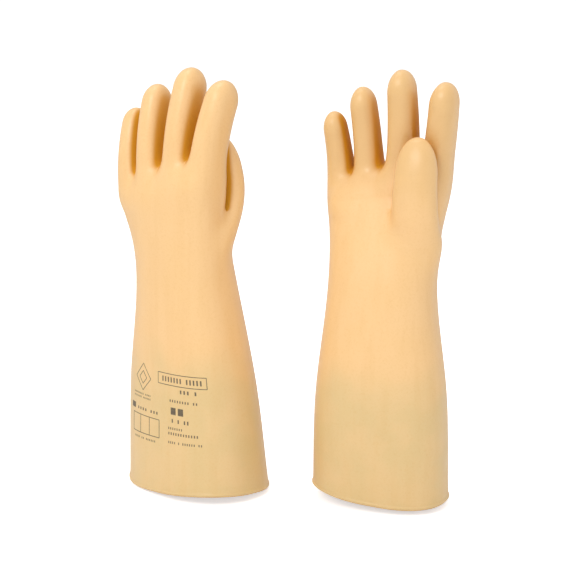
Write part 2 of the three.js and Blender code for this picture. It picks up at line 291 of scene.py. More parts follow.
def floor_material():
    """A pale floor, with a glow that only the camera sees."""
    material, tree = new_material("pale_floor")
    place = node(tree, "ShaderNodeTexCoord").outputs["Object"]
    mottled = remap(tree, noise(tree, place, 3.0, 2.0), 0.3, 0.7)
    colour = mix(tree, mottled, (0.93, 0.93, 0.93, 1.0), (0.95, 0.95, 0.95, 1.0))
    surface = node(
        tree,
        "ShaderNodeBsdfPrincipled",
        {"Base Color": colour, "Roughness": 0.9, "Emission Color": colour},
    )
    seen = node(tree, "ShaderNodeLightPath").outputs["Is Camera Ray"]
    glow = remap(tree, seen, 0.0, 1.0, 0.0, FLOOR_GLOW, smooth=False)
    tree.links.new(glow, surface.inputs["Emission Strength"])
    node(tree, "ShaderNodeOutputMaterial", {"Surface": surface.outputs["BSDF"]})
    return material


HAND_COLOUR = srgb(240, 196, 136)
CUFF_COLOUR = srgb(221, 190, 133)
WARM_PATCH = srgb(243, 200, 146)
# Deep orange-brown: a darker tone for the streaks and grain, and the painted shade in crevices.
DEEP_TONE_AND_SHADE_COLOUR = srgb(204, 140, 14)
# Painted shade for the palm side of the fingers.
PALM_SHADE_COLOUR = srgb(216, 174, 112)
# Painted shade at the edges.
EDGE_SHADE_COLOUR = srgb(214, 158, 92)
# Strength of the painted glow in the crevices.
GLOW = 0.05  # light that comes through the rubber where two walls are close
FLOOR_GLOW = 0.62
INK_COLOUR = srgb(96, 84, 66)
INK_THIN = srgb(140, 122, 92)
LATEX = latex_material()
INK = ink_material()


# ------------------------------------------------------------------ distance fields


def smoothstep(low, high, value):
    t = np.clip((value - low) / (high - low), 0.0, 1.0)
    return t * t * (3.0 - 2.0 * t)


def smooth_min(a, b, radius):
    """The smaller of two fields, rounded where they meet."""
    overlap = np.maximum(radius - np.abs(a - b), 0.0) / radius
    return np.minimum(a, b) - overlap**3 * radius / 6.0


def smooth_max(a, b, radius):
    return -smooth_min(-a, -b, radius)


def rounded_distance(length, norm):
    """Distance-like value for a point `length` from the centre, where the surface is at norm 1."""
    return length * (1.0 - 1.0 / np.maximum(norm, 1e-4))


class Trunk:
    """The gauntlet and palm: superellipse sections stacked along Z, closed by a crown."""

    def __init__(self, side):
        stations = np.array(CUFF_STATIONS[side] + HAND_STATIONS[side], float)
        self.heights = np.arange(-10.0, KNUCKLE_HEIGHT + 1.0)
        clipped = np.clip(self.heights, 0.0, KNUCKLE_HEIGHT)
        self.columns = [hermite(stations[:, 0], stations[:, i], clipped) for i in range(1, 5)]

    def section(self, z):
        """Half width, half depth and centre of the section at height z."""
        return [np.interp(z, self.heights, column) for column in self.columns]

    def field(self, p):
        x, y, z = p.T
        slope = KNUCKLE_SLOPE * smoothstep(WRIST_CENTRE[2], KNUCKLE_HEIGHT, z)
        level = z - slope * x
        above = np.maximum(level - CROWN_START, 0.0)
        crown = WEB_HEIGHT - CROWN_START + (WEB_SLOPE - KNUCKLE_SLOPE) * x
        width, depth, centre_x, centre_y = self.section(np.minimum(level, KNUCKLE_HEIGHT))
        u = np.abs(x - centre_x)
        v = np.abs(y - centre_y)
        rise = above / crown
        squareness = TRUNK_SQUARENESS + CROWN_SQUARENESS * smoothstep(0.0, 0.7, rise)
        profile = ((v / depth) ** TRUNK_SQUARENESS + rise**TRUNK_SQUARENESS) ** (1 / TRUNK_SQUARENESS)
        norm = ((u / width) ** squareness + profile**squareness) ** (1 / squareness)
        return rounded_distance(np.sqrt(u * u + v * v + above * above), norm)


def hermite(heights, values, z):
    """Smooth curve through the stations."""
    slopes = np.zeros(len(heights))
    last = len(heights) - 1
    for i in range(last + 1):
        low, high = max(i - 1, 0), min(i + 1, last)
        slopes[i] = (values[high] - values[low]) / (heights[high] - heights[low])
    i = np.clip(np.searchsorted(heights, z, side="right") - 1, 0, last - 1)
    span = heights[i + 1] - heights[i]
    t = (z - heights[i]) / span
    rise = (3 - 2 * t) * t * t
    ends = (1 - rise) * values[i] + rise * values[i + 1]
    return ends + t * (1 - t) ** 2 * span * slopes[i] - t * t * (1 - t) * span * slopes[i + 1]


class Digit:
    """A finger or the thumb: a superellipse section swept along a bow, with a domed tip and a
    root that sinks into the hand towards its heel."""

    def __init__(self, name, curve, heel, across, half_width, half_depth, dome, flare, squareness):
        self.name = name
        self.half_width = half_width
        self.half_depth = half_depth
        self.dome = dome
        self.flare = flare
        self.squareness = squareness
        a, b, c = np.array(curve, float)
        t = np.linspace(0.0, 1.0, 61)[:, None]
        points = (1 - t) ** 2 * a + 2 * t * (1 - t) * b + t * t * c
        run = np.concatenate([[0.0], np.cumsum(np.linalg.norm(np.diff(points, axis=0), axis=1))])
        self.length = run[-1]
        self.root_reach = np.linalg.norm(np.array(heel) - a)
        start = unit(b - a)
        down = np.linspace(1.25, 0.0, 31)[:-1, None]
        sunk = a - start * self.root_reach * down
        sunk = sunk + (np.array(heel) - a + start * self.root_reach) * down**2
        self.points = np.concatenate([sunk, points])
        self.s = np.concatenate([-self.root_reach * down[:, 0], run])
        self.along = unit(np.gradient(self.points, axis=0))
        across = np.array(across, float) - (self.along @ across)[:, None] * self.along
        self.across = unit(across)
        self.through = np.cross(self.along, self.across)
        margin = max(half_width[0], half_depth[0], dome) + 24.0
        self.low = self.points.min(0) - margin
        self.high = self.points.max(0) + margin

    def at(self, s):
        """Centre and direction at distance s from the base."""
        centre = np.array([np.interp(s, self.s, column) for column in self.points.T])
        along = unit(np.array([np.interp(s, self.s, column) for column in self.along.T]))
        return centre + along * max(s - self.length, 0.0), along

    def local(self, p):
        """Distance along the digit, and offsets across and through it."""
        squared = (self.points**2).sum(1) - 2 * p @ self.points.T
        nearest = squared.argmin(1)
        offset = p - self.points[nearest]
        s = self.s[nearest] + (offset * self.along[nearest]).sum(1)
        u = (offset * self.across[nearest]).sum(1)
        v = (offset * self.through[nearest]).sum(1)
        return s, np.abs(u), np.abs(v)

    def field(self, p):
        value = np.full(len(p), 100.0)
        near = ((p > self.low) & (p < self.high)).all(1)
        s, u, v = self.local(p[near])
        past_tip = np.maximum(s - self.length, 0.0)
        sunk = np.maximum(-s, 0.0) / self.root_reach
        grow = np.clip(s / self.length, 0.0, 1.0)
        flare = self.flare * (1.0 - smoothstep(0.0, FLARE_LENGTH, s))
        width = self.half_width[0] + (self.half_width[1] - self.half_width[0]) * grow + flare
        depth = self.half_depth[0] + (self.half_depth[1] - self.half_depth[0]) * grow
        n = self.squareness
        ring = ((u / width) ** n + (v / depth) ** n) ** (1 / n)
        norm = np.sqrt(ring**2 + (past_tip / self.dome) ** 2 + sunk**2)
        length = np.sqrt(u * u + v * v + past_tip**2 + (sunk * depth) ** 2)
        value[near] = rounded_distance(length, norm)
        return value


def finger_digit(name):
    """A finger, from its row in FINGERS."""
    base, fan, length, root, tip, heel = FINGERS[name]
    fan = math.radians(fan)
    start, end = (math.radians(pitch) for pitch in FINGER_PITCH)

    def direction(pitch):
        level = math.cos(pitch)
        return np.array([math.sin(fan) * level, -math.sin(pitch), math.cos(fan) * level])

    dome = tip * FINGER_DOME
    reach = (length - dome) / 2
    base = np.array(base, float)
    bow = base + direction(start) * reach
    return Digit(
        name,
        (base, bow, bow + direction(end) * reach),
        heel,
        (math.cos(fan), 0.0, -math.sin(fan)),
        (root, tip),
        (root * FINGER_DEPTH_RATIO, tip * FINGER_DEPTH_RATIO),
        dome,
        FINGER_FLARE,
        FINGER_SQUARENESS,
    )


def thumb_digit(side):
    """The thumb, which lies a little differently on the two gloves."""
    base, bow, tip = np.array(THUMB_CURVE, float)
    shift = np.array(THUMB_SHIFT[side])
    return Digit(
        "thumb",
        (base, bow + shift / 2, tip + shift),
        THUMB_HEEL,
        (1.0, 0.0, 0.0),
        THUMB_WIDTH,
        THUMB_DEPTH,
        THUMB_DOME,
        0.0,
        THUMB_SQUARENESS,
    )


class Glove:
    """One glove's frame, placed by its wrist joint, and its skin as a distance field."""

    def __init__(self, side, mirror):
        self.side = side
        self.mirror = mirror
        wrist = JOINTS[f"{side}_wrist"]
        across = np.array(wrist["axis"]) * mirror
        c, s = across[:2] / np.linalg.norm(across[:2])
        self.rotation = np.array([[c, -s * mirror, 0.0], [s, c * mirror, 0.0], [0.0, 0.0, 1.0]])
        self.origin = np.array(wrist["pos_m"]) / MM - self.rotation @ WRIST_CENTRE
        self.trunk = Trunk(side)
        self.fingers = [finger_digit(name) for name in FINGERS]
        self.thumb = thumb_digit(side)
        self.digits = self.fingers + [self.thumb]

    def to_world(self, p):
        """Glove frame in mm to the row frame in metres."""
        return (p @ self.rotation.T + self.origin) * MM

    def skin(self, p, thumb_only=False):
        """Distance from the outside of the rubber, negative inside.

        The thumb lies close over the palm, so the two are meshed apart: the hand stops at the
        thumb's cut, and thumb_only gives the thumb above it.
        """
        thumb = self.thumb.field(p)
        if thumb_only:
            return thumb
        trunk = self.trunk.field(p)
        total = trunk
        for finger in self.fingers:
            grown = smooth_min(trunk, finger.field(p), WEB_BLEND)
            swell = trunk - np.minimum(total, grown)
            total = smooth_min(total, grown, np.clip(swell, 0.001, CROTCH_BLEND))
        low, high = (THUMB_CLEFT + height for height in THUMB_FREEING)
        softness = THENAR_BLEND + (THUMB_WEB - THENAR_BLEND) * smoothstep(low, high, p[:, 2])
        total = smooth_min(total, thumb, softness)
        floor = THUMB_CLEFT - THUMB_CLEFT_SLOPE * (p[:, 0] - THUMB_CURVE[1][0])
        opened = smoothstep(floor, floor + THUMB_CLEFT_TAPER, p[:, 2])
        half_gap = THUMB_GAP / 2 * opened
        cleft = np.abs(thumb - half_gap) - half_gap + 3 * WALL * (1.0 - opened)
        return smooth_max(total, -cleft, CLEFT_ROUNDING)


# ------------------------------------------------------------------ meshing


def gradient(field, p, step=0.6):
    """How steeply the field rises along each axis, by central differences."""
    rise = np.empty_like(p)
    for axis in range(3):
        shift = np.zeros(3)
        shift[axis] = step
        rise[:, axis] = (field(p + shift) - field(p - shift)) / (2 * step)
    return rise


def unit(vectors):
    return vectors / np.maximum(np.linalg.norm(vectors, axis=-1, keepdims=True), 1e-9)


def settle(field, p, level, limit):
    """Moves points onto the surface where the field equals level, by no more than limit in all."""
    start = p
    for _ in range(4):
        rise = gradient(field, p)
        steep = np.maximum((rise**2).sum(1, keepdims=True), 0.15)
        p = p - rise * (field(p)[:, None] - level) / steep
        move = p - start
        size = np.linalg.norm(move, axis=1, keepdims=True)
        p = start + move * np.minimum(1.0, limit / np.maximum(size, 1e-9))
    return p


def surface_net(field, low, high, step, level):
    """Vertices and outward quads of the surface where the field equals level, in a box."""
    axes = [np.arange(low[i], high[i] + step, step) for i in range(3)]
    shape = tuple(len(axis) for axis in axes)
    grid = np.stack(np.meshgrid(*axes, indexing="ij"), -1).reshape(-1, 3)
    chunks = np.array_split(grid, len(grid) // 60000 + 1)
    value = np.concatenate([field(chunk) for chunk in chunks]).reshape(shape) - level
    cells = tuple(n - 1 for n in shape)

    def corner(array, x, y, z):
        return array[x : x + cells[0], y : y + cells[1], z : z + cells[2]]

    corners = [(x, y, z) for x in (0, 1) for y in (0, 1) for z in (0, 1)]
    inside = value < 0
    count = sum(corner(inside, *c).astype(int) for c in corners)
    crossed = (count > 0) & (count < 8)
    place = np.argwhere(crossed)
    total = np.zeros((len(place), 3))
    hits = np.zeros(len(place))
    for a in corners:
        for axis in range(3):
            if a[axis]:
                continue
            b = tuple(1 if i == axis else a[i] for i in range(3))
            va = corner(value, *a)[crossed]
            vb = corner(value, *b)[crossed]
            hit = (va < 0) != (vb < 0)
            where = np.array(a, float)[None, :].repeat(len(place), 0)
            where[:, axis] = np.where(hit, va / np.where(hit, va - vb, 1.0), 0.0)
            total[hit] += where[hit]
            hits += hit
    points = np.array(low) + (place + total / hits[:, None]) * step
    index = np.full(cells, -1)
    index[crossed] = np.arange(len(place))
    quads = []
    for axis in range(3):
        one, two = (axis + 1) % 3, (axis + 2) % 3
        start = [slice(1, -1)] * 3
        start[axis] = slice(0, cells[axis])
        end = list(start)
        end[axis] = slice(1, cells[axis] + 1)
        first = inside[tuple(start)]
        second = inside[tuple(end)]
        for leaving, order in ((True, (0, 1, 2, 3)), (False, (3, 2, 1, 0))):
            edge = np.argwhere((first != second) & (first == leaving))
            edge[:, one] += 1
            edge[:, two] += 1
            ring = []
            for back_one, back_two in ((1, 1), (0, 1), (0, 0), (1, 0)):
                cell = edge.copy()
                cell[:, one] -= back_one
                cell[:, two] -= back_two
                ring.append(index[tuple(cell.T)])
            quads.append(np.stack([ring[i] for i in order], 1))
    return points, np.concatenate(quads)


# ------------------------------------------------------------------ parting the skin into pieces

# Where each digit bends, as distances along it; each zone has a cut just before it.
BEND_ZONES = {
    "index": [(18.0, 34.0), (37.5, 58.0), (60.0, 74.0)],
    "middle": [(16.5, 33.0), (38.0, 60.0), (63.0, 79.0)],
    "ring": [(11.5, 27.5), (32.0, 52.0), (54.2, 67.0)],
    "little": [(14.2, 27.0), (28.5, 43.0), (44.5, 56.0)],
    "thumb": [(31.0, 44.5), (53.0, 68.0)],
}
CRUMB = 100  # a loose part with fewer corners than this is dropped
SEAM_REACH = 8.0  # only faces this close to a seam are cut by it
SEAM_MARGIN = 1.4  # a seam lies this far before the zone it opens onto
PART_NAMES = {3: ["base", "mid", "tip"], 2: ["base", "tip"]}


class Seam:
    """A plane across the skin: across one digit, or level across the whole glove."""

    def __init__(self, centre, normal, digit=None):
        self.centre = np.array(centre, float)
        self.normal = np.array(normal, float)
        self.digit = digit
        self.reach = 2.0 * max(digit.half_width[0], digit.half_depth[0]) if digit else 200.0

    def beyond(self, p):
        return (p - self.centre) @ self.normal

    def holds(self, p):
        """Whether points on this plane are near enough to be on this seam."""
        return np.linalg.norm(p - self.centre, axis=-1) < self.reach


def digit_seams(digit):
    """A digit's cuts, each square to it, except that the thumb's first follows its cleft."""
    seams = []
    for start, _ in BEND_ZONES[digit.name]:
        centre, along = digit.at(start - SEAM_MARGIN)
        tilt = THUMB_CLEFT_SLOPE if digit.name == "thumb" and not seams else 0.0
        seams.append(Seam(centre, unit(along + tilt * np.array([1.0, 0.0, 0.0])), digit))
    return seams


def nearest_digit(glove, p):
    """Which digit each point belongs to, as an index into glove.digits.

    The palm behind the thumb isn't the thumb's, though no finger is nearer.
    """
    values = np.stack([digit.field(p) for digit in glove.digits])
    values[-1][values[-1] > THUMB_GAP / 2] += 100.0
    return values.argmin(0)


def drop_crumbs(bm):
    """Removes the few closed crumbs that the field leaves loose from the skin."""
    left = set(bm.verts)
    while left:
        first = left.pop()
        crumb, unvisited = [first], [first]
        while unvisited:
            for edge in unvisited.pop().link_edges:
                for vert in edge.verts:
                    if vert in left:
                        left.discard(vert)
                        crumb.append(vert)
                        unvisited.append(vert)
        if len(crumb) < CRUMB:
            bmesh.ops.delete(bm, geom=crumb, context="VERTS")


def cut_skin(points, faces, glove, seams, keep):
    """Cuts the skin along its seams and returns its vertices and triangles.

    keep drops what isn't wanted at all, given the face centres.
    """
    bm = bmesh.new()
    verts = [bm.verts.new(p) for p in points]
    for face in faces:
        bm.faces.new([verts[i] for i in face])
    # Where two walls nearly touch, the net can join them along an edge.
    pinched = [edge for edge in bm.edges if len(edge.link_faces) > 2]
    bmesh.ops.collapse(bm, edges=pinched)
    drop_crumbs(bm)
    for seam in seams:
        centres = np.array([face.calc_center_median() for face in bm.faces])
        near = (np.abs(seam.beyond(centres)) < SEAM_REACH) & seam.holds(centres)
        if seam.digit:
            index = glove.digits.index(seam.digit)
            mine = np.zeros(len(centres), bool)
            mine[near] = nearest_digit(glove, centres[near]) == index
            near = mine
        bm.faces.ensure_lookup_table()
        cut_faces = [bm.faces[i] for i in np.flatnonzero(near)]
        cut_edges = {edge for face in cut_faces for edge in face.edges}
        cut_verts = {vert for face in cut_faces for vert in face.verts}
        bmesh.ops.bisect_plane(
            bm,
            geom=list(cut_verts) + list(cut_edges) + cut_faces,
            dist=1e-4,
            plane_co=seam.centre,
            plane_no=seam.normal,
        )
    centres = np.array([face.calc_center_median() for face in bm.faces])
    bm.faces.ensure_lookup_table()
    dropped = [bm.faces[i] for i in np.flatnonzero(~keep(centres))]
    bmesh.ops.delete(bm, geom=dropped, context="FACES")
    bmesh.ops.triangulate(bm, faces=bm.faces[:])
    bm.verts.index_update()
    cut_points = np.array([vert.co for vert in bm.verts])
    cut_faces = np.array([[vert.index for vert in face.verts] for face in bm.faces])
    bm.free()
    return cut_points, cut_faces


def sort_faces(glove, centres):
    """Which piece each face belongs to: (digit, part), or (-1, 0) for the hand, (-1, -1) for
    the wrist."""
    owner = nearest_digit(glove, centres)
    digit_of = np.full(len(centres), -1)
    part_of = np.where(centres[:, 2] < WRIST_TOP, -1, 0)
    for index, digit in enumerate(glove.digits):
        for part, seam in enumerate(digit_seams(digit)):
            beyond = (owner == index) & (seam.beyond(centres) > 0.0)
            beyond &= centres[:, 2] > THUMB_GUARD
            digit_of[beyond] = index
            part_of[beyond] = part
    return digit_of, part_of


def new_object(name, points, faces, normals, flat_from=None):
    """A mesh object in the row frame. Each corner gets its vertex's normal, except that faces
    from flat_from on keep their own."""
    mesh = bpy.data.meshes.new(name)
    mesh.from_pydata([tuple(p) for p in points], [], [tuple(f) for f in faces])
    mesh.update()
    corner_vertex = np.zeros(len(mesh.loops), np.int32)
    mesh.loops.foreach_get("vertex_index", corner_vertex)
    corner_normals = normals[corner_vertex]
    if flat_from is not None:
        for polygon in mesh.polygons[flat_from:]:
            corners = slice(polygon.loop_start, polygon.loop_start + polygon.loop_total)
            corner_normals[corners] = polygon.normal
    mesh.polygons.foreach_set("use_smooth", [True] * len(mesh.polygons))
    mesh.normals_split_custom_set([tuple(n) for n in corner_normals])
    obj = bpy.data.objects.new(name, mesh)
    bpy.context.scene.collection.objects.link(obj)
    return obj


def put_attribute(obj, name, kind, values):
    """Stores a value or vector for each corner, for the material to read."""
    attribute = obj.data.attributes.new(name, kind, "POINT")
    field = "vector" if kind == "FLOAT_VECTOR" else "value"
    attribute.data.foreach_set(field, np.asarray(values, np.float32).ravel())


def smooth_cap(bm, seams):
    """Fills the ring of rubber that each cut leaves open."""
    for seam in seams:
        rim = []
        for edge in bm.edges:
            if edge.is_boundary:
                ends = np.array([vert.co for vert in edge.verts])
                if np.abs(seam.beyond(ends)).max() < 2e-3 and seam.holds(ends[0]):
                    rim.append(edge)
        if rim:
            bmesh.ops.triangle_fill(
                bm, use_beauty=True, use_dissolve=False, edges=rim, normal=seam.normal
            )


def build_part(name, glove, shells, chosen, seams, fields):
    """One piece: its share of the outside and of the lining, closed by caps along its cuts.

    shells holds (vertices, triangles) of the outside and of the lining, chosen the triangles of
    each that are this piece's, and fields the field each shell was meshed from.
    """
    bm = bmesh.new()
    normals = []
    depth = []
    for (points, faces), mine, inward in zip(shells, chosen, (False, True)):
        used, local = np.unique(faces[mine], return_inverse=True)
        verts = [bm.verts.new(p) for p in points[used]]
        for face in local.reshape(-1, 3):
            corners = [verts[i] for i in face]
            bm.faces.new(corners[::-1] if inward else corners)
        outward = unit(gradient(fields, points[used]))
        normals.append(-outward if inward else outward)
        depth.append(np.full(len(used), WALL if inward else 0.0))
    skin_faces = len(bm.faces)
    smooth_cap(bm, seams)
    bmesh.ops.recalc_face_normals(bm, faces=bm.faces[:])
    bm.verts.index_update()
    rest = np.array([vert.co for vert in bm.verts])
    faces = [[vert.index for vert in face.verts] for face in bm.faces]
    bm.free()
    normals = np.concatenate(normals)
    if glove.mirror < 0:
        faces = [face[::-1] for face in faces]
    obj = new_object(name, glove.to_world(rest), faces, normals @ glove.rotation.T, skin_faces)
    add_looks(obj, glove, rest, normals, np.concatenate(depth))
    return obj


SHUT_REACHES = (4.0, 9.0, 16.0)  # how far to look for rubber in front of a point
THUMB_SHADE = 0.35  # how much of that the thumb counts for, since it moves away


def add_looks(obj, glove, rest, normals, depth):
    """What the material reads: the place on the glove, how shut in it is at rest, which sets the
    painted shade in crevices, and how far it faces the palm, which sets painted shade there.
    """
    put_attribute(obj, "rest", "FLOAT_VECTOR", rest)
    # How shut in each point is, from the rubber in front of it: the mask of the painted crevice shade.
    shut = np.zeros(len(rest))
    outward = np.where(depth[:, None] > 0, -normals, normals)
    for reach in SHUT_REACHES:
        free = np.minimum(glove.skin(rest + outward * reach), reach)
        behind_thumb = glove.thumb.field(rest + outward * reach) < reach * 0.6
        share = np.where(behind_thumb, THUMB_SHADE, 1.0)
        shut += share * np.clip(1.0 - free / reach, 0.0, 1.0) / len(SHUT_REACHES)
    put_attribute(obj, "crevice_shade", "FLOAT", shut)
    # How far each point faces the palm, above the knuckles, for the painted shade there.
    palm_side_shade = smoothstep(0.0, 0.9, -outward[:, 1]) * smoothstep(270.0, 330.0, rest[:, 2])
    put_attribute(obj, "palm_side_shade", "FLOAT", palm_side_shade)
    obj.data.materials.append(LATEX)


# ------------------------------------------------------------------ the cuff, in rings


class CuffSurface:
    """The gauntlet's outside by direction round it and height, with the soft wave of its rim."""

    def __init__(self, glove):
        self.glove = glove
        dense = np.linspace(0.0, 2 * math.pi, 2881)
        points = self.place(dense, np.full(len(dense), CUFF_MIDDLE), 0.0)
        run = np.concatenate([[0.0], np.cumsum(np.linalg.norm(np.diff(points, axis=0), axis=1))])
        self.dense = dense
        self.run = run

    def evenly(self, count):
        """Directions spaced evenly along the surface."""
        return np.interp(np.arange(count) / count * self.run[-1], self.run, self.dense)

    def direction(self, arc):
        """The direction that lies `arc` mm round from the middle of the glove's back."""
        middle = np.interp(math.pi / 2, self.dense, self.run)
        return np.interp(middle + np.asarray(arc, float), self.run, self.dense)

    def place(self, theta, z, offset):
        """Points `offset` mm proud of the surface."""
        n = TRUNK_SQUARENESS
        c, s = np.cos(theta), np.sin(theta)
        wave = sum(
            size * np.cos(turns * theta - math.radians(phase))
            for turns, size, phase in RIM_WAVES[self.glove.side]
        )
        z = z + wave * (1.0 - smoothstep(0.0, RIM_WAVE_HEIGHT, z))
        width, depth, centre_x, centre_y = self.glove.trunk.section(np.maximum(z, -10.0))
        x = width * np.sign(c) * np.abs(c) ** (2 / n)
        y = depth * np.sign(s) * np.abs(s) ** (2 / n)
        away_x = np.sign(c) * np.abs(c) ** (2 - 2 / n) / width
        away_y = np.sign(s) * np.abs(s) ** (2 - 2 / n) / depth
        size = np.hypot(away_x, away_y)
        x = x + centre_x + away_x / size * offset
        y = y + centre_y + away_y / size * offset
        return np.stack([x, y, z], -1)


def build_gauntlet(glove):
    """The cuff as rings: down the outside, round the rolled rim, and up the lining."""
    surface = CuffSurface(glove)
    theta = surface.evenly(CUFF_SIDES)
    bead = np.radians(np.arange(50.0, -231.0, -14.0))
    outside = [(z, 0.0) for z in np.arange(GAUNTLET_TOP, RIM_RADIUS * 3, -3.0)]
    rolled = [
        (RIM_RADIUS * (1 + math.sin(phi)), RIM_RADIUS * math.cos(phi) - WALL / 2) for phi in bead
    ]
    lining = [(z, -WALL) for z in np.arange(RIM_RADIUS * 3, GAUNTLET_TOP, 6.0)]
    profile = outside + rolled + lining + [(GAUNTLET_TOP, -WALL)]
    rows = [surface.place(theta, np.full(len(theta), z), offset) for z, offset in profile]
    rest = np.concatenate(rows)
    count = len(theta)
    column = np.arange(count)
    after = (column + 1) % count
    faces = []
    for row in range(len(rows)):
        below = (row + 1) % len(rows)
        faces.append(
            np.stack(
                [
                    row * count + column,
                    below * count + column,
                    below * count + after,
                    row * count + after,
                ],
                1,
            )
        )
    cap_start = (len(rows) - 1) * count
    faces = np.concatenate(faces)
    skin = faces[:cap_start]
    across = np.cross(rest[skin[:, 2]] - rest[skin[:, 0]], rest[skin[:, 3]] - rest[skin[:, 1]])
    normals = np.zeros_like(rest)
    for corner in range(4):
        np.add.at(normals, skin[:, corner], across)
    normals = unit(normals)
    depth = np.repeat([-offset for _, offset in profile], count)
    smooth = (depth == 0.0) & (rest[:, 2] > 20.0)
    normals[smooth] = unit(gradient(glove.skin, rest[smooth]))
    lined = (depth == WALL) & (rest[:, 2] > 20.0)
    normals[lined] = -unit(gradient(glove.skin, rest[lined]))
    if glove.mirror < 0:
        faces = faces[:, ::-1]
    name = f"{glove.side}_gauntlet_cuff"
    obj = new_object(name, glove.to_world(rest), faces, normals @ glove.rotation.T, cap_start)
    add_looks(obj, glove, rest, normals, np.clip(depth, 0.0, WALL))
    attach(obj, f"{glove.side}_gauntlet")
    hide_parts(f"{glove.side}_gauntlet")


# ------------------------------------------------------------------ the stamped marks

INK_DEPTH = 0.25  # a mark's body reaches this far into the rubber
INK_HEIGHT = 0.06  # and stands this proud of it
INK_STEP = 2.0  # longest straight run of a stroke
LINE_WIDTH = 0.7

# Places on the cuff: mm round from the middle of its back, towards the little finger, and height.
MARK_OUTLINES = [
    [(-1, 118), (-58, 118), (-58, 107), (-1, 107)],
    [(22.5, 122), (35, 108), (22.5, 95), (10, 108)],
    [(22.5, 114.5), (28.5, 108), (22.5, 101.5), (16.5, 108)],
    [(40, 70), (-2, 70), (-2, 53), (40, 53)],
]
MARK_LINES = [((26, 70), (26, 53)), ((12, 70), (12, 53))]
MARK_BLOCKS = [(-17.5, -23.5, 82, 7.0), (-26, -32, 82, 7.0), (44, 36, 77, 5.5)]
# start, end, height of its middle, height of a tick, ticks in each group
MARK_ROWS = [
    (-6, -54, 112.5, 5.0, (7, 5)),
    (-28, -48, 102, 3.6, (3, 1)),
    (-15.5, -48, 92, 2.4, (8, 2)),
    (-17.5, -38.5, 72.5, 3.6, (1, 1, 2)),
    (-13.5, -31, 65, 2.2, (7,)),
    (-13.5, -47.5, 60, 2.6, (12,)),
    (-13.5, -51, 51.5, 2.2, (4, 1, 6, 2)),
    (39, 10, 91, 1.6, (8, 4)),
    (39, 10, 87.5, 1.6, (7, 6)),
    (32, -1, 76, 2.6, (4, 3)),
    (37, 3, 48.5, 1.8, (4, 2, 6)),
]
TICK_WIDTH = 0.42  # of the space between ticks


def stroke(surface, start, end, width):
    """One inked line: a closed strip that follows the cuff, as corners and faces."""
    start, end = np.array(start, float), np.array(end, float)
    run = end - start
    length = np.linalg.norm(run)
    side = np.array([-run[1], run[0]]) / length * width / 2
    steps = math.ceil(length / INK_STEP)
    spots = start + run * np.linspace(0.0, 1.0, steps + 1)[:, None]
    edges = []
    for across, offset in ((-1, -INK_DEPTH), (1, -INK_DEPTH), (1, INK_HEIGHT), (-1, INK_HEIGHT)):
        arc, z = (spots + across * side).T
        edges.append(surface.place(surface.direction(arc), z, offset))
    faces = [(0, 1, 2, 3), tuple(4 * steps + i for i in (3, 2, 1, 0))]
    for near in range(0, 4 * steps, 4):
        for i, j in ((0, 1), (1, 2), (2, 3), (3, 0)):
            faces.append((near + j, near + i, near + 4 + i, near + 4 + j))
    return np.stack(edges, 1).reshape(-1, 3), faces


def print_strokes():
    """Every stroke of the stamp: where it starts and ends, and its width."""
    strokes = [(start, end, LINE_WIDTH) for start, end in MARK_LINES]
    for outline in MARK_OUTLINES:
        strokes += [(a, b, LINE_WIDTH) for a, b in zip(outline, outline[1:] + outline[:1])]
    strokes += [((a, z), (b, z), tall) for a, b, z, tall in MARK_BLOCKS]
    for start, end, z, tall, groups in MARK_ROWS:
        pitch = (end - start) / (sum(groups) + len(groups) - 1)
        place = 0
        for group in groups:
            for _ in range(group):
                arc = start + (place + 0.5) * pitch
                width = abs(pitch) * TICK_WIDTH
                strokes.append(((arc, z - tall / 2), (arc, z + tall / 2), width))
                place += 1
            place += 1
    return strokes


def build_print(glove):
    """The stamp on the back of the cuff, in generic marks only."""
    surface = CuffSurface(glove)
    bm = bmesh.new()
    for start, end, width in print_strokes():
        points, faces = stroke(surface, start, end, width)
        corners = [bm.verts.new(point) for point in glove.to_world(points)]
        for face in faces:
            bm.faces.new([corners[i] for i in face])
    bmesh.ops.recalc_face_normals(bm, faces=bm.faces)
    mesh = bpy.data.meshes.new(f"{glove.side}_gauntlet_print")
    bm.to_mesh(mesh)
    bm.free()
    mesh.materials.append(INK)
    obj = bpy.data.objects.new(mesh.name, mesh)
    bpy.context.scene.collection.objects.link(obj)
    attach(obj, f"{glove.side}_gauntlet")


# ------------------------------------------------------------------ one glove


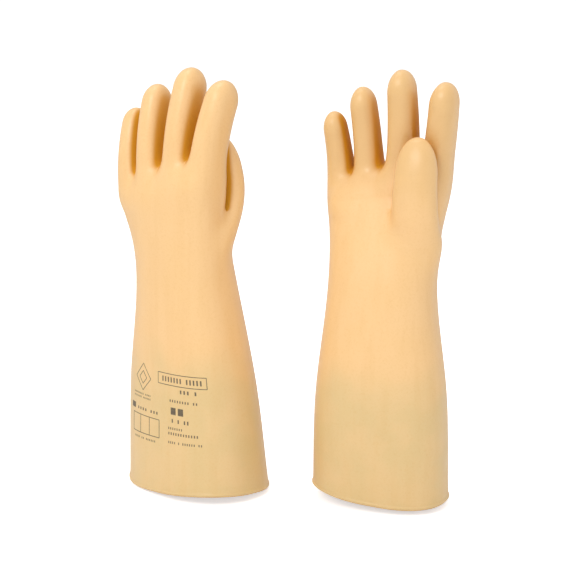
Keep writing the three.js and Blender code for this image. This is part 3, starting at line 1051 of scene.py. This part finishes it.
def build_glove(glove):
    """Every piece of one glove: gauntlet, wrist, hand, fingers and thumb."""
    side = glove.side
    build_gauntlet(glove)
    digit_cuts = {digit.name: digit_seams(digit) for digit in glove.digits}
    level = [Seam((0, 0, GAUNTLET_TOP), (0, 0, 1)), Seam((0, 0, WRIST_TOP), (0, 0, 1))]
    roots = [cuts[0] for cuts in digit_cuts.values()]
    finger_cuts = [seam for finger in glove.fingers for seam in digit_cuts[finger.name]]
    thumb_cuts = digit_cuts["thumb"]
    thumb_index = glove.digits.index(glove.thumb)

    def thumb_field(p):
        return glove.skin(p, thumb_only=True)

    def keep_hand(centres):
        thumb = nearest_digit(glove, centres) == thumb_index
        thumb &= (thumb_cuts[0].beyond(centres) > 0.0) & (centres[:, 2] > THUMB_GUARD)
        return (centres[:, 2] > GAUNTLET_TOP) & ~thumb

    def keep_thumb(centres):
        return thumb_cuts[0].beyond(centres) > 0.0

    hand_low, hand_high = (-75.0, -75.0, GAUNTLET_TOP - 8.0), (75.0, 45.0, 410.0)
    thumb_low = np.array(THUMB_CURVE).min(0) - (32.0, 26.0, 0.0)
    thumb_high = np.array(THUMB_CURVE).max(0) + (32.0, 26.0, THUMB_DOME + 5.0)
    hand_shells, thumb_shells = [], []
    for depth, step in ((0.0, SKIN_STEP), (-WALL, LINING_STEP)):
        points, faces = surface_net(glove.skin, hand_low, hand_high, step, depth)
        points = settle(glove.skin, points, depth, step)
        cuts = level + finger_cuts + thumb_cuts[:1]
        hand_shells.append(cut_skin(points, faces, glove, cuts, keep_hand))
        points, faces = surface_net(thumb_field, thumb_low, thumb_high, step, depth)
        points = settle(thumb_field, points, depth, step)
        thumb_shells.append(cut_skin(points, faces, glove, thumb_cuts, keep_thumb))
    sorted_faces = [sort_faces(glove, p[f].mean(1)) for p, f in hand_shells]
    thumb_sorted = [sort_faces(glove, p[f].mean(1)) for p, f in thumb_shells]

    def share(table, digit, part):
        return [(digit_of == digit) & (part_of == part) for digit_of, part_of in table]

    chosen = share(sorted_faces, -1, -1)
    wrist = build_part(f"{side}_wrist_skin", glove, hand_shells, chosen, level, glove.skin)
    start, end = (glove.to_world(np.array([*WRIST_CENTRE[:2], z])) for z in WRIST_ZONE)
    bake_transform(wrist)
    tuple(start)
    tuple(end)
    chosen = share(sorted_faces, -1, 0)
    cuts = level[1:] + roots
    hand = build_part(f"{side}_hand_skin", glove, hand_shells, chosen, cuts, glove.skin)
    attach(hand, f"{side}_hand")
    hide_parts(f"{side}_hand")
    for index, digit in enumerate(glove.digits):
        is_thumb = digit is glove.thumb
        shells = thumb_shells if is_thumb else hand_shells
        table = thumb_sorted if is_thumb else sorted_faces
        field = thumb_field if is_thumb else glove.skin
        stem = f"{side}_thumb" if is_thumb else f"{side}_{digit.name}_finger"
        cuts = digit_cuts[digit.name]
        for part, (start, end) in enumerate(BEND_ZONES[digit.name]):
            label = PART_NAMES[len(cuts)][part]
            chosen = share(table, index, part)
            name = f"{stem}_{label}_skin"
            piece = build_part(name, glove, shells, chosen, cuts[part : part + 2], field)
            next_body = f"{stem}_{label}"
            seam = cuts[part]
            turn = start - SEAM_MARGIN
            start, end = (
                glove.to_world(seam.centre + seam.normal * (s - turn)) for s in (start, end)
            )
            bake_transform(piece)
            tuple(start)
            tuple(end)
            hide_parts(next_body)


# ------------------------------------------------------------------ the pair


left_glove, right_glove = Glove("left", -1), Glove("right", 1)
build_glove(left_glove)
build_glove(right_glove)
build_print(left_glove)

# ------------------------------------------------------------------ studio


def add_floor():
    mesh = bpy.data.meshes.new("floor")
    bm = bmesh.new()
    bmesh.ops.create_grid(bm, x_segments=8, y_segments=8, size=6.0)
    bm.to_mesh(mesh)
    bm.free()
    floor = bpy.data.objects.new("floor", mesh)
    floor.location.z = cad_box[0].z + FLOOR_DROP * MM
    floor.data.materials.append(floor_material())
    bpy.context.scene.collection.objects.link(floor)


def add_light(name, place, target, size, power):
    """A soft round lamp of `size` metres and `power` watts that looks at target."""
    data = bpy.data.lights.new(name, "AREA")
    data.shape = "DISK"
    data.size = size
    data.energy = power
    light = bpy.data.objects.new(name, data)
    light.location = place
    light.rotation_mode = "QUATERNION"
    light.rotation_quaternion = (Vector(target) - Vector(place)).to_track_quat("-Z", "Y")
    bpy.context.scene.collection.objects.link(light)


def add_camera():
    elevation = math.radians(CAMERA_ELEVATION)
    target = Vector(CAMERA_TARGET) * MM
    back = Vector((0.0, -math.cos(elevation), math.sin(elevation)))
    data = bpy.data.cameras.new("camera")
    data.sensor_width = 36.0
    data.lens = CAMERA_LENS
    camera = bpy.data.objects.new("camera", data)
    camera.location = target + back * CAMERA_DISTANCE * MM
    camera.rotation_mode = "QUATERNION"
    camera.rotation_quaternion = (-back).to_track_quat("-Z", "Y")
    bpy.context.scene.collection.objects.link(camera)
    bpy.context.scene.camera = camera


def add_world():
    world = bpy.data.worlds.new("studio")
    world.use_nodes = True
    tree = world.node_tree
    background = tree.nodes["Background"]
    background.inputs["Color"].default_value = (1.0, 1.0, 1.0, 1.0)
    seen = node(tree, "ShaderNodeLightPath").outputs["Is Camera Ray"]
    strength = remap(tree, seen, 0.0, 1.0, WORLD_STRENGTH, 1.1, smooth=False)
    tree.links.new(strength, background.inputs["Strength"])
    bpy.context.scene.world = world


FLOOR_DROP = -7.0  # mm, just under the lowest dip of the rims
CAMERA_TARGET = (4.8, -13.6, 199.0)  # mm
CAMERA_DISTANCE = 1401.2  # mm
CAMERA_ELEVATION = 11.6  # degrees
CAMERA_LENS = 91.9
WORLD_STRENGTH = 0.75

centre = (cad_box[0] + cad_box[1]) / 2
add_floor()
add_light("key", centre + Vector((-0.8, -1.3, 1.2)), centre, 0.9, 12.0)
add_light("fill", centre + Vector((1.2, -1.2, 0.5)), centre, 1.4, 1.6)
add_light("top", centre + Vector((-0.3, 0.1, 1.6)), centre, 0.9, 5.0)
add_camera()
add_world()
bpy.context.scene.view_settings.view_transform = "Standard"
